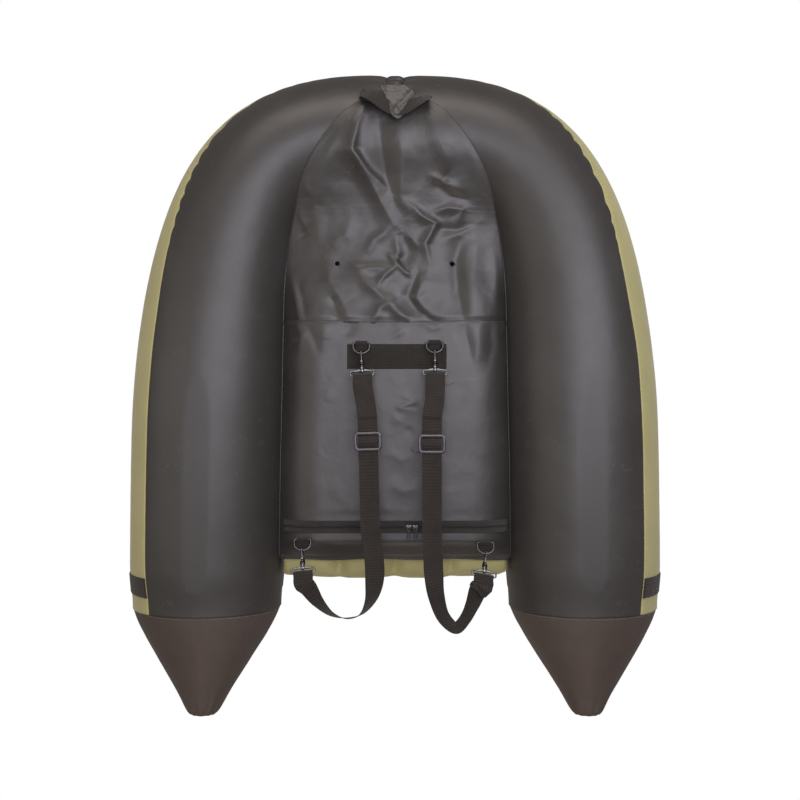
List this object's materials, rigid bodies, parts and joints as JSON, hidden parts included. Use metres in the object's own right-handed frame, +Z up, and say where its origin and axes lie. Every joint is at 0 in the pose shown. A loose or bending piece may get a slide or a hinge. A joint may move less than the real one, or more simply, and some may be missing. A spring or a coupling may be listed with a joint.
{
  "type": "float tube",
  "caption": "Inflatable float tube with a U-shaped hull, a channelled seat, a folding backrest, rear storage and a clip-on carrying harness.",
  "frame": {"origin": "centre of the footprint, on the surface that the hull lies on", "axes": "+Z up, +Y towards the closed end, -Y towards the two cones, +X towards the pontoon on the left when the boat is seen from below with its closed end up"},
  "size_m": [1.0932, 1.3272, 0.551],
  "materials": {
    "black_cloth": "satin PVC-coated black cloth",
    "olive_cover": "olive coated woven cloth",
    "cone_cloth": "brown-black coated cloth",
    "bladder_film": "smooth film",
    "webbing": "ribbed polypropylene webbing",
    "plated_steel": "gunmetal plating",
    "moulded_nylon": "moulded"
  },
  "bodies": {
    "hull": {"carry_handle": "webbing", "handle_grip": "black_cloth", "left_accent_band": "webbing", "left_backrest_strap": "webbing", "left_bladder": "bladder_film", "left_end_cone": "cone_cloth", "left_lower_skin": "black_cloth", "left_lower_swivel_eye": "plated_steel", "left_lower_tab": "webbing", "left_strap": "webbing", "left_upper_cover": "olive_cover", "left_upper_swivel_eye": "plated_steel", "left_upper_tab": "webbing", "left_valve": "moulded_nylon", "rear_cover": "olive_cover", "rear_gather": "black_cloth", "right_accent_band": "webbing", "right_backrest_strap": "webbing", "right_bladder": "bladder_film", "right_end_cone": "cone_cloth", "right_lower_skin": "black_cloth", "right_lower_swivel_eye": "plated_steel", "right_lower_tab": "webbing", "right_strap": "webbing", "right_upper_cover": "olive_cover", "right_upper_swivel_eye": "plated_steel", "right_upper_tab": "webbing", "right_valve": "moulded_nylon", "seat_cushion": "olive_cover", "seat_pocket_panel": "black_cloth", "seat_zipper": "webbing", "storage_floor": "black_cloth", "strap_patch": "webbing"},
    "left_upper_ring": {"left_upper_d_ring": "plated_steel"},
    "left_upper_hook": {"left_upper_hook": "plated_steel"},
    "left_upper_gate": {"left_upper_gate": "plated_steel"},
    "right_upper_ring": {"right_upper_d_ring": "plated_steel"},
    "right_upper_hook": {"right_upper_hook": "plated_steel"},
    "right_upper_gate": {"right_upper_gate": "plated_steel"},
    "left_lower_ring": {"left_lower_d_ring": "plated_steel"},
    "left_lower_hook": {"left_lower_hook": "plated_steel"},
    "left_lower_gate": {"left_lower_gate": "plated_steel"},
    "right_lower_ring": {"right_lower_d_ring": "plated_steel"},
    "right_lower_hook": {"right_lower_hook": "plated_steel"},
    "right_lower_gate": {"right_lower_gate": "plated_steel"},
    "left_adjuster": {"left_adjuster": "plated_steel"},
    "right_adjuster": {"right_adjuster": "plated_steel"},
    "zip_slider_1": {"seat_zip_slider_1": "plated_steel"},
    "zip_pull_1": {"seat_zip_pull_1": "plated_steel"},
    "zip_slider_2": {"seat_zip_slider_2": "plated_steel"},
    "zip_pull_2": {"seat_zip_pull_2": "plated_steel"},
    "backrest": {"backrest_cushion": "olive_cover"},
    "left_cap": {"left_valve_cap": "moulded_nylon"},
    "right_cap": {"right_valve_cap": "moulded_nylon"}
  },
  "joints": [
    {"name": "left_upper_ring_hinge", "type": "hinge", "parent": "hull", "child": "left_upper_ring", "pos_m": [0.067, 0.1097, 0.069], "axis": [1, 0, 0], "range_deg": [-1, 1]},
    {"name": "left_upper_hook_swivel", "type": "hinge", "parent": "hull", "child": "left_upper_hook", "pos_m": [0.0653, 0.05881, 0.04525], "axis": [-0.0537, -0.9047, -0.4226], "range_deg": [-25, 25]},
    {"name": "left_upper_gate_hinge", "type": "hinge", "parent": "left_upper_hook", "child": "left_upper_gate", "pos_m": [0.06604, 0.07131, 0.04325], "axis": [0.9982, -0.0593, 0], "range_deg": [0, 20], "stiffness_Nm_per_rad": 0.02, "springref_deg": -20.05},
    {"name": "right_upper_ring_hinge", "type": "hinge", "parent": "hull", "child": "right_upper_ring", "pos_m": [-0.08, 0.1115, 0.069], "axis": [1, 0, 0], "range_deg": [-1, 1]},
    {"name": "right_upper_hook_swivel", "type": "hinge", "parent": "hull", "child": "right_upper_hook", "pos_m": [-0.08, 0.06056, 0.04525], "axis": [0, -0.9063, -0.4226], "range_deg": [-25, 25]},
    {"name": "right_upper_gate_hinge", "type": "hinge", "parent": "right_upper_hook", "child": "right_upper_gate", "pos_m": [-0.08, 0.07308, 0.04325], "axis": [1, 0, 0], "range_deg": [0, 20], "stiffness_Nm_per_rad": 0.02, "springref_deg": -20.05},
    {"name": "left_lower_ring_hinge", "type": "hinge", "parent": "hull", "child": "left_lower_ring", "pos_m": [0.185, -0.2853, 0.0708], "axis": [1, 0, 0], "range_deg": [-1, 1]},
    {"name": "left_lower_hook_swivel", "type": "hinge", "parent": "hull", "child": "left_lower_hook", "pos_m": [0.18244, -0.33177, 0.03937], "axis": [-0.0809, -0.8251, -0.5592], "range_deg": [-25, 25]},
    {"name": "left_lower_gate_hinge", "type": "hinge", "parent": "left_lower_hook", "child": "left_lower_gate", "pos_m": [0.18367, -0.31915, 0.03936], "axis": [0.9952, -0.0976, 0], "range_deg": [0, 20], "stiffness_Nm_per_rad": 0.02, "springref_deg": -20.05},
    {"name": "right_lower_ring_hinge", "type": "hinge", "parent": "hull", "child": "right_lower_ring", "pos_m": [-0.182, -0.2919, 0.0708], "axis": [1, 0, 0], "range_deg": [-1, 1]},
    {"name": "right_lower_hook_swivel", "type": "hinge", "parent": "hull", "child": "right_lower_hook", "pos_m": [-0.17793, -0.33818, 0.03937], "axis": [0.1283, -0.8191, -0.5592], "range_deg": [-25, 25]},
    {"name": "right_lower_gate_hinge", "type": "hinge", "parent": "right_lower_hook", "child": "right_lower_gate", "pos_m": [-0.17989, -0.32565, 0.03936], "axis": [0.988, 0.1547, 0], "range_deg": [0, 20], "stiffness_Nm_per_rad": 0.02, "springref_deg": -20.05},
    {"name": "left_adjuster_slide", "type": "slide", "parent": "hull", "child": "left_adjuster", "axis": [-0.0264, -0.9997, 0], "range_m": [-0.006, 0.125]},
    {"name": "right_adjuster_slide", "type": "slide", "parent": "hull", "child": "right_adjuster", "axis": [0, -1, 0], "range_m": [-0.006, 0.122]},
    {"name": "zip_slider_1_slide", "type": "slide", "parent": "hull", "child": "zip_slider_1", "axis": [1, 0, 0], "range_m": [0, 0.17]},
    {"name": "zip_pull_1_hinge", "type": "hinge", "parent": "zip_slider_1", "child": "zip_pull_1", "pos_m": [-0.0281, -0.2606, 0.0687], "axis": [1, 0, 0], "range_deg": [0, 150]},
    {"name": "zip_slider_2_slide", "type": "slide", "parent": "hull", "child": "zip_slider_2", "axis": [1, 0, 0], "range_m": [-0.1, 0]},
    {"name": "zip_pull_2_hinge", "type": "hinge", "parent": "zip_slider_2", "child": "zip_pull_2", "pos_m": [-0.0415, -0.2606, 0.0687], "axis": [1, 0, 0], "range_deg": [0, 150]},
    {"name": "backrest_fold", "type": "hinge", "parent": "hull", "child": "backrest", "pos_m": [0, 0.0471, 0.222], "axis": [1, 0, 0], "range_deg": [0, 85]},
    {"name": "left_cap_turn", "type": "hinge", "parent": "hull", "child": "left_cap", "pos_m": [0.39721, 0.16647, 0.31319], "axis": [0.1548, 0.0758, 0.985], "range_deg": [0, 90]},
    {"name": "right_cap_turn", "type": "hinge", "parent": "hull", "child": "right_cap", "pos_m": [-0.39721, 0.16647, 0.31319], "axis": [-0.1548, 0.0758, 0.985], "range_deg": [0, 90]}
  ]
}
